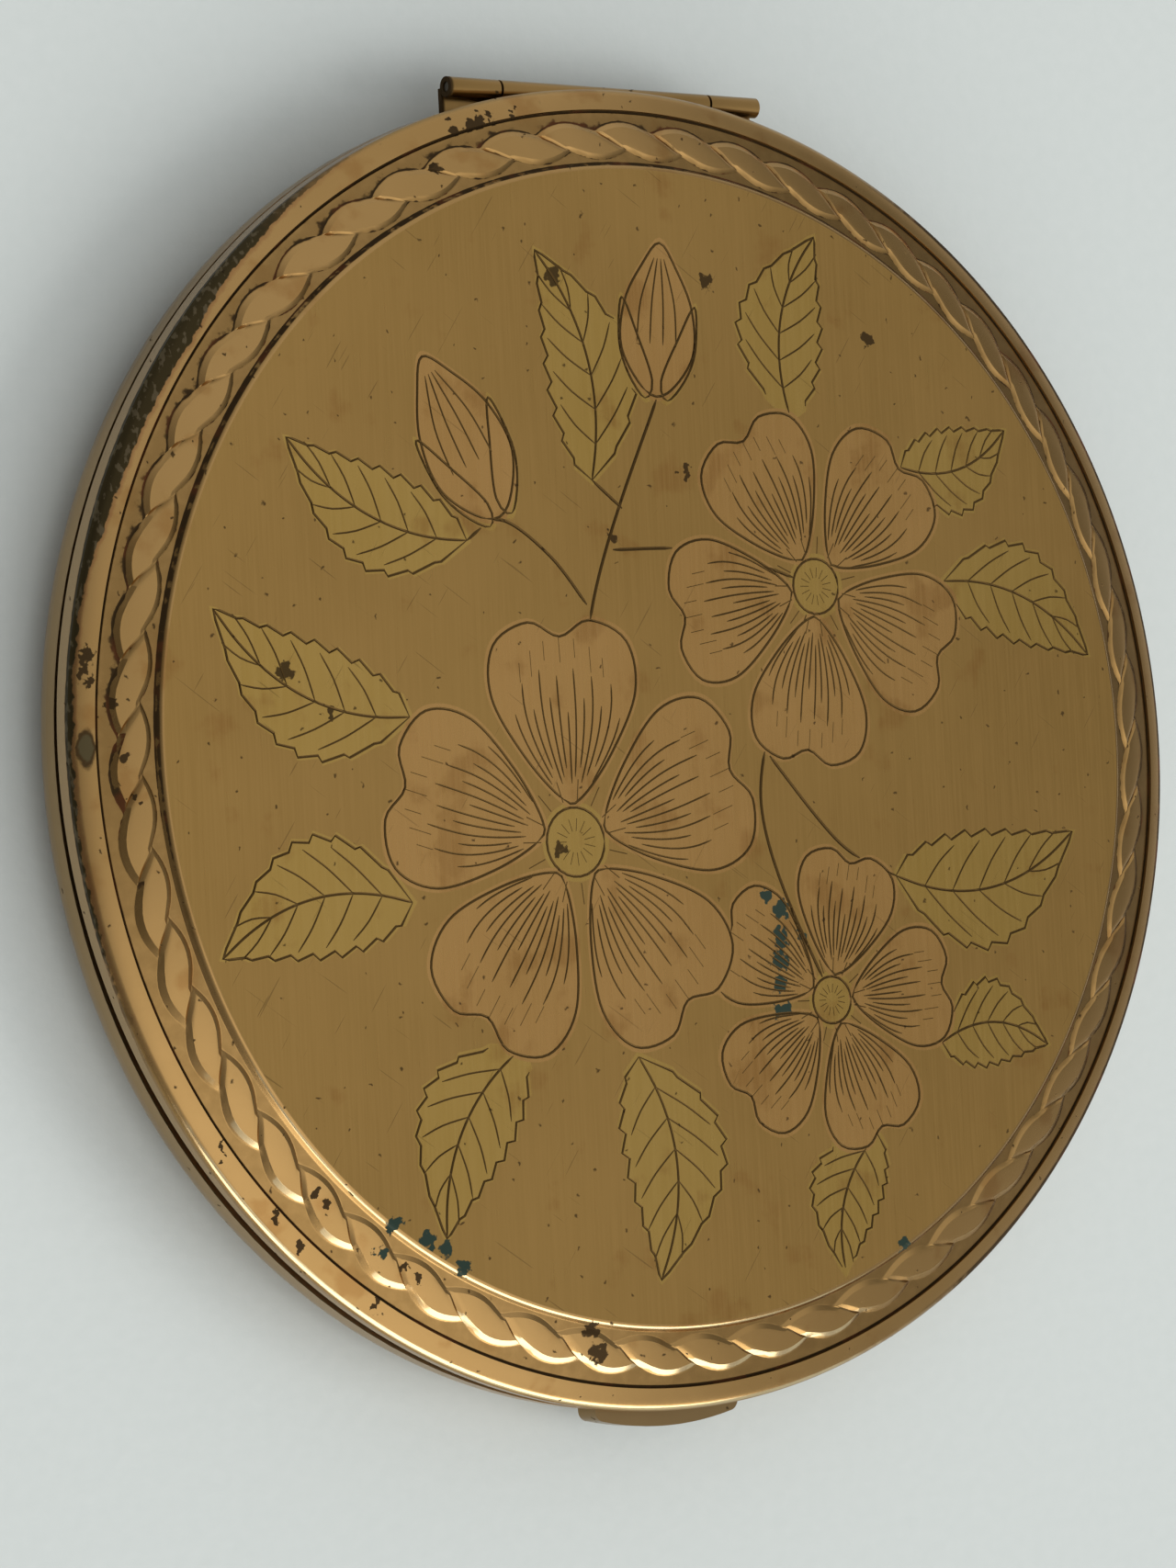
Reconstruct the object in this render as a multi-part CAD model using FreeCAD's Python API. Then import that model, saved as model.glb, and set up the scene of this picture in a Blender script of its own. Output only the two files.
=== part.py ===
import FreeCAD, Part
import math
import os

# A round powder compact with a mirror in its lid, closed, lying on its base.
# Millimetres. Z starts at the face it rests on, the hinge is at +Y and the catch at -Y.

# Case
case_radius = 48.0
sheet = 0.5
base_height = 5.0
parting_gap = 0.25
lid_height = 4.0
overrun = 2.0

# Base: upright wall, rounded lower corner, flat bottom
base_wall_height = 1.1
base_corner_radius = 3.0
base_corner_sweep = 60.0

# Lid: flat field, sunk band with the rope border, rounded rim
band_width = 3.95
shoulder_drop = 0.45
shoulder_run = 0.2
shoulder_wall = 0.5
band_fall = 1.1
rim_width = 1.75
rim_step = 0.15
rim_groove_width = 0.25
rim_groove_depth = 0.12
rim_edge_inset = 0.15
rim_edge_drop = 0.55
rim_bulge = 0.12
rim_corner_drop = 0.35

# Rope border: slanted lobes with flat tops, side by side round the band
rope_lobes = 55
rope_start_angle = -1.0
rope_inset = 1.73
rope_half_width = 1.47
rope_height = 0.6
rope_root = 0.25
# Corners and bulges of one lobe, along the band as shares of the pitch,
# across it as shares of the half width: inner side, then outer side
lobe_foot_shares = (
    (-0.74, -0.52), (-0.24, -1.0), (0.235, -0.52),
    (0.74, 0.52), (0.24, 1.0), (-0.235, 0.52),
)
lobe_top_shares = (
    (-0.61, -0.35), (-0.21, -0.58), (0.16, -0.35),
    (0.61, 0.35), (0.21, 0.60), (-0.16, 0.35),
)

# Hinge: three knuckles on one pin, the middle one on the lid
hinge_length = 27.4
hinge_inset = 0.2
barrel_radius = 0.75
pin_radius = 0.35
pin_clearance = 0.03
pin_end_inset = 0.1
middle_knuckle = 18.3
knuckle_gap = 0.2
leaf_sheet = 0.4
leaf_bite = 0.125
lid_leaf_inset = 0.4
lid_leaf_rise = 0.7
hinge_room = 0.2
solder_gap = 0.02

# Collar that stands inside the base's wall and guides the lid
collar_gap = 1.6
collar_sheet = 0.5
collar_rise = 1.6
ledge_width = 1.6
ledge_drop = 1.6

# Sifter that closes the powder well
sifter_clearance = 0.15
sifter_sheet = 0.4
sifter_ring_height = 1.1
sifter_flange = 2.6
net_thickness = 0.15
net_hole_radius = 1.2
net_ring_step = 6.4
net_rings = 5
net_hole_pitch = 7.4
net_hole_sides = 6

# Puff and the ribbon across it
puff_clearance = 1.6
puff_lift = 0.05
puff_room = 0.65
puff_side_bulge = 0.8
puff_crown = 0.35
puff_top_share = 0.4
ribbon_width = 12.0
ribbon_thickness = 0.15
ribbon_inset = 3.0

# Mirror, its card and its bezel
backing_thickness = 0.35
backing_inset = 0.2
mirror_thickness = 1.5
mirror_clearance = 0.2
mirror_bevel = 0.25
bezel_clearance = 0.2
bezel_sheet = 0.4
bezel_lip = 1.5
bezel_flange = 3.2
bezel_seat_gap = 0.05

# Catch: a bowed press piece in a window of the base's wall, with a hooked tongue
catch_width = 12.6
catch_proud = 1.2
catch_bow_radius = 24.0
catch_corner = 0.8
catch_drop = 0.2
catch_height = 2.2
catch_sheet = 0.5
catch_travel = 0.8
catch_stop_gap = 0.15
ear_length = 1.4
ear_height = 1.2
ear_gap = 0.15
window_gap = 0.15
tongue_width = 4.8
tongue_sheet = 0.35
tongue_hook = 0.45
tongue_rise = 1.5
tongue_setback = 0.15
keeper_depth = 0.4
keeper_height = 0.35
keeper_lift = 0.2
keeper_side = 1.0
strap_sheet = 0.3
strap_gap = 0.05
strap_side_gap = 0.8
strap_end_gap = 0.2
spring_span = 11.2
spring_sheet = 0.25
spring_height = 1.1
spring_gap = 0.05

# Levels and radii that several pieces share
lid_bottom_z = base_height + parting_gap
field_z = lid_bottom_z + lid_height
field_under_z = field_z - sheet
wall_inner = case_radius - sheet
band_top_z = field_z - shoulder_drop
band_low_z = band_top_z - band_fall
rim_root = case_radius - rim_width
band_inner = rim_root - band_width
field_radius = band_inner - shoulder_run
rope_radius = band_inner + rope_inset
hinge_y = case_radius - hinge_inset
hinge_z = base_height + parting_gap / 2
hinge_half = hinge_length / 2
notch_half = hinge_half + hinge_room
leaf_top_z = hinge_z - barrel_radius + leaf_bite
leaf_low_z = leaf_top_z - leaf_sheet
collar_outer = wall_inner - collar_gap
collar_inner = collar_outer - collar_sheet
collar_top_z = base_height + collar_rise
ledge_top_z = base_height - ledge_drop
sifter_outer = collar_inner - sifter_clearance
sifter_inner = sifter_outer - sifter_flange
sifter_top_z = ledge_top_z + sifter_ring_height
net_top_z = sifter_top_z - sifter_sheet
bezel_outer = field_radius - shoulder_wall - bezel_clearance
mirror_radius = bezel_outer - bezel_sheet - mirror_clearance
mirror_top_z = field_under_z - backing_thickness
mirror_face_z = mirror_top_z - mirror_thickness
lip_low_z = mirror_face_z - bezel_sheet
puff_radius = sifter_inner - puff_clearance
puff_low_z = net_top_z + puff_lift
puff_edge_z = lip_low_z - puff_room
puff_top_z = puff_edge_z + puff_crown
catch_half = catch_width / 2
catch_top_z = base_height - catch_drop
catch_low_z = catch_top_z - catch_height
catch_back = collar_outer + catch_travel + catch_stop_gap
catch_front_y = -(case_radius + catch_proud)
tongue_half = tongue_width / 2
keeper_inner = wall_inner - keeper_depth


def at(x, y, z):
    return FreeCAD.Vector(x, y, z)


origin = at(0, 0, 0)
upright = at(0, 0, 1)
across = at(1, 0, 0)


# A closed wire of straight runs and arcs. A step is the end of a run, or an arc's (via, end).
def outline(place, start, *steps):
    edges = []
    here = place(*start)
    for step in steps + (start,):
        if isinstance(step[0], tuple):
            via, end = (place(*point) for point in step)
            edges.append(Part.Arc(here, via, end).toShape())
        else:
            end = place(*step)
            edges.append(Part.LineSegment(here, end).toShape())
        here = end
    return Part.Wire(edges)


# A solid turned about Z from points (radius, height)
def turned(start, *steps):
    profile = outline(lambda radius, height: at(radius, 0, height), start, *steps)
    return Part.Face(profile).revolve(origin, upright, 360)


def block(low, high):
    return Part.makeBox(high[0] - low[0], high[1] - low[1], high[2] - low[2], at(*low))


def disc(radius, low_z, high_z):
    return Part.makeCylinder(radius, high_z - low_z, at(0, 0, low_z))


def ring(inner, outer, low_z, high_z):
    return disc(outer, low_z, high_z).cut(disc(inner, low_z, high_z))


def rod(radius, low_x, high_x, y, z):
    return Part.makeCylinder(radius, high_x - low_x, at(low_x, y, z), across)


# The part of a shape within half_width of the YZ plane, on the catch's side
def front_slice(shape, half_width, low_z, high_z):
    return shape.common(block((-half_width, -case_radius - overrun, low_z), (half_width, 0, high_z)))


def mirrored_x(shape):
    return shape.mirror(origin, across)


# A copy turned about Z by an angle in degrees
def spun(shape, angle):
    copy = shape.copy()
    copy.rotate(origin, upright, angle)
    return copy


def half_chord_y(radius, half_width):
    return math.sqrt(radius * radius - half_width * half_width)


def make_base_shell():
    sweep = math.radians(base_corner_sweep)
    corner_r = case_radius - base_corner_radius
    corner_z = base_height - base_wall_height

    # Point on the rounded corner, turned down from the wall, on a surface set in by depth
    def corner(depth, turn):
        reach = base_corner_radius - depth
        return (corner_r + reach * math.cos(turn), corner_z - reach * math.sin(turn))

    # Where the slope below the corner comes down to a level
    def slope_foot(depth, level):
        radius, height = corner(depth, sweep)
        return (radius - (height - level) * math.tan(sweep), level)

    shell = turned(
        (0, 0),
        slope_foot(0, 0),
        corner(0, sweep),
        (corner(0, sweep / 2), corner(0, 0)),
        (case_radius, base_height),
        (wall_inner, base_height),
        corner(sheet, 0),
        (corner(sheet, sweep / 2), corner(sheet, sweep)),
        slope_foot(sheet, sheet),
        (0, sheet),
    )
    hinge_notch = block(
        (-notch_half, half_chord_y(wall_inner, notch_half) - overrun, leaf_low_z),
        (notch_half, case_radius + overrun, base_height + overrun),
    )
    window = block(
        (-catch_half - window_gap, -case_radius - overrun, catch_low_z - window_gap),
        (catch_half + window_gap, -half_chord_y(collar_outer, catch_half), base_height + overrun),
    )
    return shell.cut(hinge_notch).cut(window)


# Height of the base's inner slope under a radius
def base_floor_z(radius):
    sweep = math.radians(base_corner_sweep)
    reach = base_corner_radius - sheet
    end_r = case_radius - base_corner_radius + reach * math.cos(sweep)
    end_z = base_height - base_wall_height - reach * math.sin(sweep)
    return end_z - (end_r - radius) / math.tan(sweep)


def make_base_collar():
    foot_z = base_floor_z(collar_outer) + solder_gap
    ledge_inner = collar_inner - ledge_width
    collar = turned(
        (collar_inner, foot_z),
        (collar_outer, foot_z),
        (collar_outer, collar_top_z),
        (collar_inner, collar_top_z),
        (collar_inner, ledge_top_z),
        (ledge_inner, ledge_top_z),
        (ledge_inner, ledge_top_z - collar_sheet),
        (collar_inner, ledge_top_z - collar_sheet),
    )
    slot_half = tongue_half + strap_side_gap / 2
    slot = block(
        (-slot_half, -case_radius, catch_top_z - window_gap),
        (slot_half, -half_chord_y(ledge_inner, slot_half), collar_top_z + overrun),
    )
    return collar.cut(slot)


def make_sifter_ring():
    skirt_inner = sifter_outer - sifter_sheet
    return turned(
        (skirt_inner, ledge_top_z),
        (sifter_outer, ledge_top_z),
        (sifter_outer, sifter_top_z),
        (sifter_inner, sifter_top_z),
        (sifter_inner, net_top_z),
        (skirt_inner, net_top_z),
    )


# A thin disc with rings of holes, as one holed face
def make_sifter_net():
    edge = sifter_outer - sifter_sheet - sifter_clearance
    low_z = net_top_z - net_thickness
    rim = Part.Wire([Part.Circle(at(0, 0, low_z), upright, edge).toShape()])
    holes = []
    for ring_number in range(1, net_rings + 1):
        ring_radius = ring_number * net_ring_step
        count = int(2 * math.pi * ring_radius / net_hole_pitch)
        for number in range(count):
            turn = 2 * math.pi * number / count
            centre = at(ring_radius * math.cos(turn), ring_radius * math.sin(turn), low_z)
            corners = []
            for side in range(net_hole_sides + 1):
                angle = turn + 2 * math.pi * side / net_hole_sides
                corners.append(centre + at(math.cos(angle), math.sin(angle), 0) * net_hole_radius)
            holes.append(Part.makePolygon(corners))
    return Part.makeFace([rim] + holes, "Part::FaceMakerBullseye").extrude(upright * net_thickness)


# A flat pad with bulged sides and a slight crown
def make_powder_puff():
    flat_r = puff_radius - puff_side_bulge
    return turned(
        (0, puff_low_z),
        (flat_r, puff_low_z),
        ((puff_radius, (puff_low_z + puff_edge_z) / 2), (flat_r, puff_edge_z)),
        (flat_r * puff_top_share, puff_top_z),
        (0, puff_top_z),
    )


# A band of ribbon that lies along Y over the puff's flat top and down its crown
def make_puff_ribbon():
    reach = puff_radius - ribbon_inset
    flat_r = puff_radius - puff_side_bulge
    bend = flat_r * puff_top_share
    low_z = puff_top_z + solder_gap
    high_z = low_z + ribbon_thickness
    end_drop = puff_crown * (reach - bend) / (flat_r - bend)
    profile = outline(
        lambda y, z: at(-ribbon_width / 2, y, z),
        (-reach, low_z - end_drop),
        (-bend, low_z),
        (bend, low_z),
        (reach, low_z - end_drop),
        (reach, high_z - end_drop),
        (bend, high_z),
        (-bend, high_z),
        (-reach, high_z - end_drop),
    )
    return Part.Face(profile).extrude(across * ribbon_width)


# One lobe of the rope border, standing on the band at +Y, leaning outwards anticlockwise
def make_rope_lobe():
    pitch = 2 * math.pi * rope_radius / rope_lobes

    def lobe_wire(shares, height):
        def place(along_share, across_share):
            turn = along_share * pitch / rope_radius
            radius = rope_radius + across_share * rope_half_width
            return at(-radius * math.sin(turn), radius * math.cos(turn) - rope_radius, height)

        inner_left, inner_bulge, inner_right, outer_right, outer_bulge, outer_left = shares
        return outline(
            place,
            inner_left,
            (inner_bulge, inner_right),
            outer_right,
            (outer_bulge, outer_left),
        )

    foot = lobe_wire(lobe_foot_shares, -rope_root)
    top = lobe_wire(lobe_top_shares, rope_height)
    lobe = Part.makeLoft([foot, top], True, True)
    # The band falls towards the rim, and the lobe lies on that slope
    band_slope = math.degrees(math.atan2(band_fall, rim_root - band_inner))
    lobe.rotate(origin, across, -band_slope)
    lobe.translate(at(0, rope_radius, band_z(rope_radius)))
    return lobe


# Height of the sunk band at a radius
def band_z(radius):
    return band_top_z - band_fall * (radius - band_inner) / (rim_root - band_inner)


def make_lid_shell():
    groove_half = rim_groove_width / 2
    rim_start = (rim_root + groove_half, band_low_z + rim_step)
    rim_end = (case_radius - rim_edge_inset, rim_start[1] - rim_edge_drop)
    run = rim_end[0] - rim_start[0]
    fall = rim_start[1] - rim_end[1]
    chord = math.hypot(run, fall)
    rim_middle = (
        (rim_start[0] + rim_end[0]) / 2 + rim_bulge * fall / chord,
        (rim_start[1] + rim_end[1]) / 2 + rim_bulge * run / chord,
    )
    shell = turned(
        (0, field_z),
        (field_radius, field_z),
        (band_inner, band_top_z),
        (rim_root - groove_half, band_z(rim_root - groove_half)),
        (rim_root, band_low_z - rim_groove_depth),
        rim_start,
        (rim_middle, rim_end),
        (case_radius, rim_end[1] - rim_corner_drop),
        (case_radius, lid_bottom_z),
        (wall_inner, lid_bottom_z),
        (wall_inner, rim_end[1] - sheet),
        (rim_root, band_low_z - sheet),
        (band_inner - shoulder_wall, band_top_z - sheet),
        (field_radius - shoulder_wall, field_under_z),
        (0, field_under_z),
    )
    lobe = make_rope_lobe()
    lobe_angles = [rope_start_angle + 360 * number / rope_lobes for number in range(rope_lobes)]
    shell = shell.fuse([spun(lobe, angle) for angle in lobe_angles])
    hinge_notch = block(
        (-notch_half, half_chord_y(wall_inner, notch_half) - overrun, lid_bottom_z - overrun),
        (notch_half, case_radius + overrun, hinge_z + barrel_radius + hinge_room),
    )
    return shell.cut(hinge_notch)


def make_mirror_backing():
    return disc(mirror_radius - backing_inset, mirror_top_z, field_under_z)


def make_mirror_glass():
    return turned(
        (0, mirror_face_z),
        (mirror_radius - mirror_bevel, mirror_face_z),
        (mirror_radius, mirror_face_z + mirror_bevel),
        (mirror_radius, mirror_top_z),
        (0, mirror_top_z),
    )


# The bezel's lip holds the glass, its skirt grips the lid and its flange covers the band
def make_mirror_bezel():
    skirt_inner = bezel_outer - bezel_sheet
    flange_outer = bezel_outer + bezel_flange
    flange_top_z = band_z(flange_outer) - sheet - bezel_seat_gap
    return turned(
        (mirror_radius - bezel_lip, lip_low_z),
        (bezel_outer, lip_low_z),
        (bezel_outer, flange_top_z - bezel_sheet),
        (flange_outer, flange_top_z - bezel_sheet),
        (flange_outer, flange_top_z),
        (bezel_outer, flange_top_z),
        (bezel_outer, mirror_top_z),
        (skirt_inner, mirror_top_z),
        (skirt_inner, mirror_face_z),
        (mirror_radius - bezel_lip, mirror_face_z),
    )


def make_hinge_pin():
    reach = hinge_half - pin_end_inset
    return rod(pin_radius, -reach, reach, hinge_y, hinge_z)


# A plate soldered to the collar, on the notched wall, with a knuckle at each end
def make_base_hinge_leaf():
    clear_half = middle_knuckle / 2 + knuckle_gap
    plate = block(
        (-hinge_half, half_chord_y(collar_outer, hinge_half), leaf_low_z),
        (hinge_half, hinge_y, leaf_top_z),
    )
    plate = plate.cut(disc(collar_outer + solder_gap, 0, field_z))
    plate = plate.cut(block(
        (-clear_half, hinge_y - barrel_radius - knuckle_gap, 0),
        (clear_half, hinge_y + overrun, field_z),
    ))
    knuckle = rod(barrel_radius, clear_half, hinge_half, hinge_y, hinge_z)
    leaf = plate.fuse([knuckle, mirrored_x(knuckle)])
    reach = hinge_half + overrun
    return leaf.cut(rod(pin_radius + pin_clearance, -reach, reach, hinge_y, hinge_z))


# A curved flange inside the lid's wall, rolled into the middle knuckle
def make_lid_hinge_leaf():
    knuckle_half = middle_knuckle / 2
    flange_half = knuckle_half - lid_leaf_inset
    flange_outer = wall_inner - solder_gap
    flange_top_z = hinge_z + barrel_radius + hinge_room + lid_leaf_rise
    flange = ring(flange_outer - leaf_sheet, flange_outer, hinge_z, flange_top_z)
    flange = flange.common(block((-flange_half, 0, 0), (flange_half, case_radius, field_z)))
    leaf = flange.fuse(rod(barrel_radius, -knuckle_half, knuckle_half, hinge_y, hinge_z))
    return leaf.cut(rod(pin_radius + pin_clearance, -hinge_half, hinge_half, hinge_y, hinge_z))


# An upright edge outside the base's wall
def is_outer_corner(edge):
    box = edge.BoundBox
    return box.ZLength > box.XLength + box.YLength and math.hypot(box.XMax, box.YMin) > wall_inner


# The press piece: a bowed front, ears that stop it behind the wall, hollow for its spring
def make_catch_tab():
    bow_y = catch_front_y + catch_bow_radius
    body = Part.makeCylinder(catch_bow_radius, catch_height, at(0, bow_y, catch_low_z))
    body = front_slice(body, catch_half, catch_low_z, catch_top_z)
    body = body.cut(disc(catch_back, 0, field_z))
    corners = [edge for edge in body.Edges if is_outer_corner(edge)]
    body = body.makeFillet(catch_corner, corners)
    ear_outer = wall_inner - ear_gap
    ears = ring(catch_back, ear_outer, catch_top_z - ear_height, catch_top_z)
    ears = front_slice(ears, catch_half + ear_length, 0, field_z)
    hollow = Part.makeCylinder(catch_bow_radius - catch_sheet, catch_height, at(0, bow_y, catch_low_z))
    hollow = front_slice(
        hollow,
        catch_half - catch_sheet,
        catch_low_z + catch_sheet,
        catch_top_z - catch_sheet,
    )
    return body.fuse(ears).cut(hollow)


# A hooked strip on the press piece, which holds the keeper inside the lid's wall
def make_catch_tongue():
    hook_y = -(keeper_inner - tongue_setback)
    upright_y = hook_y + tongue_hook
    back_y = upright_y + tongue_sheet
    front_y = -(wall_inner - ear_gap)
    top_z = catch_top_z + tongue_rise
    profile = outline(
        lambda y, z: at(-tongue_half, y, z),
        (front_y, catch_top_z),
        (back_y, catch_top_z),
        (back_y, top_z),
        (upright_y, top_z),
        (hook_y, top_z - tongue_sheet / 2),
        (hook_y, top_z - tongue_sheet),
        (upright_y, top_z - tongue_sheet),
        (upright_y, catch_top_z + tongue_sheet),
        (front_y, catch_top_z + tongue_sheet),
    )
    return Part.Face(profile).extrude(across * tongue_width)


def make_catch_keeper():
    low_z = lid_bottom_z + keeper_lift
    ledge = ring(keeper_inner, wall_inner - solder_gap, low_z, low_z + keeper_height)
    return front_slice(ledge, tongue_half + keeper_side, 0, field_z)


# Two plates on the collar that keep the press piece from lifting
def make_catch_straps():
    low_z = catch_top_z + strap_gap
    plate = ring(collar_outer + solder_gap, wall_inner - strap_end_gap, low_z, low_z + strap_sheet)
    plate = front_slice(plate, catch_half + ear_length, 0, field_z)
    near_x = tongue_half + strap_side_gap
    right = plate.common(block((near_x, -case_radius, 0), (case_radius, 0, field_z)))
    return Part.makeCompound([right, mirrored_x(right)])


# A bowed leaf spring between the collar and the front of the press piece
def make_catch_spring():
    half = spring_span / 2
    crown_y = catch_front_y + catch_sheet + spring_gap
    end_y = -half_chord_y(collar_outer, half - spring_sheet * 2) - spring_gap
    rise = end_y - crown_y
    bow = (half * half + rise * rise) / (2 * rise)
    centre_z = (catch_low_z + catch_top_z) / 2
    low_z = centre_z - spring_height / 2
    strip = ring(bow - spring_sheet, bow, low_z, low_z + spring_height)
    strip.translate(at(0, crown_y + bow, 0))
    return strip.common(block((-bow, crown_y - overrun, 0), (bow, end_y, field_z)))


nodes = {
    "base_shell": make_base_shell,
    "base_collar": make_base_collar,
    "base_hinge_leaf": make_base_hinge_leaf,
    "hinge_pin": make_hinge_pin,
    "sifter_ring": make_sifter_ring,
    "sifter_net": make_sifter_net,
    "powder_puff": make_powder_puff,
    "puff_ribbon": make_puff_ribbon,
    "catch_tab": make_catch_tab,
    "catch_tongue": make_catch_tongue,
    "catch_spring": make_catch_spring,
    "catch_straps": make_catch_straps,
    "lid_shell": make_lid_shell,
    "lid_hinge_leaf": make_lid_hinge_leaf,
    "catch_keeper": make_catch_keeper,
    "mirror_backing": make_mirror_backing,
    "mirror_glass": make_mirror_glass,
    "mirror_bezel": make_mirror_bezel,
}

os.makedirs("parts", exist_ok=True)
for name, make in nodes.items():
    shape = make()
    shape.exportStep("parts/" + name + ".step")
    print(name, len(shape.Solids), round(shape.Volume, 2), shape.isValid())
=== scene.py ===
from itertools import groupby
from math import acos, asin, copysign, cos, degrees, hypot, pi, radians, sin
import bmesh
import bpy
from mathutils import Euler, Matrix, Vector, noise
from mathutils.geometry import delaunay_2d_cdt
from mathutils.kdtree import KDTree


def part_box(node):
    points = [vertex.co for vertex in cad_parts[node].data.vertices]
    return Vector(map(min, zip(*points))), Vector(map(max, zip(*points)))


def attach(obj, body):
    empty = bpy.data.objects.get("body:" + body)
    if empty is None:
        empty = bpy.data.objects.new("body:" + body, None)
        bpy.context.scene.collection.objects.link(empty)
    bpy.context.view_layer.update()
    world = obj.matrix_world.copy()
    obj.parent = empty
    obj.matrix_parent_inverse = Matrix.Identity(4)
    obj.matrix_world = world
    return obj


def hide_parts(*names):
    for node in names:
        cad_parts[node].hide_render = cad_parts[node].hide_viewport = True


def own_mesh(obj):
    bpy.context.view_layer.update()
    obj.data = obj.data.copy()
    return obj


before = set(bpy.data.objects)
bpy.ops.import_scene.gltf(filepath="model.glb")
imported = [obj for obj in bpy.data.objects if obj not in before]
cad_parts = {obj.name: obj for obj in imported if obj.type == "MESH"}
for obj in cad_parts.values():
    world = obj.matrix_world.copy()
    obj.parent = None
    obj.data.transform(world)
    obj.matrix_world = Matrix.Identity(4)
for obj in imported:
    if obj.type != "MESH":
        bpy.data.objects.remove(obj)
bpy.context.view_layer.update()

mm = 0.001
fullTurn = 2 * pi


# A socket of a material. Sums and products of wires become Math nodes.
class Wire:
    def __init__(self, tree, socket=None):
        self.tree = tree
        self.socket = socket

    # A shader node: its type, its settings, which are set first, and its sockets' values or links
    def node(self, kind, settings=None, sockets=None, out=0):
        made = self.tree.nodes.new("ShaderNode" + kind)
        for name, value in (settings or {}).items():
            setattr(made, name, value)
        for name, value in (sockets or {}).items():
            if isinstance(value, Wire):
                self.tree.links.new(value.socket, made.inputs[name])
            else:
                made.inputs[name].default_value = value
        return Wire(self.tree, made.outputs[out] if made.outputs else None)

    def maths(self, operation, *values):
        return self.node("Math", {"operation": operation}, dict(enumerate(values)))

    def __add__(self, other):
        return self.maths("ADD", self, other)

    def __sub__(self, other):
        return self.maths("SUBTRACT", self, other)

    def __rsub__(self, other):
        return self.maths("SUBTRACT", other, self)

    def __mul__(self, other):
        return self.maths("MULTIPLY", self, other)

    __radd__ = __add__
    __rmul__ = __mul__


# The first wire of a material or of the room: coordinates of one kind
def firstWire(owner, kind):
    owner.use_nodes = True
    owner.node_tree.nodes.clear()
    return Wire(owner.node_tree).node("TexCoord", out=kind)


def newMaterial(name):
    material = bpy.data.materials.new(name)
    return material, firstWire(material, "Object")


def finishMaterial(place, sockets):
    shader = place.node("BsdfPrincipled", {}, sockets)
    place.node("OutputMaterial", {}, {"Surface": shader})


# Nodes that the finishes share
def vectorMaths(operation, first, second, out=0):
    return first.node("VectorMath", {"operation": operation}, {0: first, 1: second}, out)


def scaled(place, factors):
    return vectorMaths("MULTIPLY", place, factors)


def component(place, axis):
    return place.node("SeparateXYZ", {}, {0: place}, axis)


def cloud(place, scale, detail=2.0):
    return place.node("TexNoise", {}, {"Vector": place, "Scale": scale, "Detail": detail}, "Fac")


def eased(value, low, high):
    sockets = {"Value": value, "From Min": low, "From Max": high}
    return value.node("MapRange", {"interpolation_type": "SMOOTHSTEP"}, sockets)


# A blend of two colours, each a wire or three numbers
def blended(share, first, second):
    first, second = (colour if isinstance(colour, Wire) else (*colour, 1.0) for colour in (first, second))
    return share.node("Mix", {"data_type": "RGBA"}, {0: share, 6: first, 7: second}, 2)


def larger(first, second):
    return first.maths("MAXIMUM", first, second)


# Depth in millimetres
def bumped(height, strength, depth):
    sockets = {"Strength": strength, "Distance": depth * mm, "Height": height}
    return height.node("Bump", {}, sockets)


print("stage: finishes")

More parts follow.
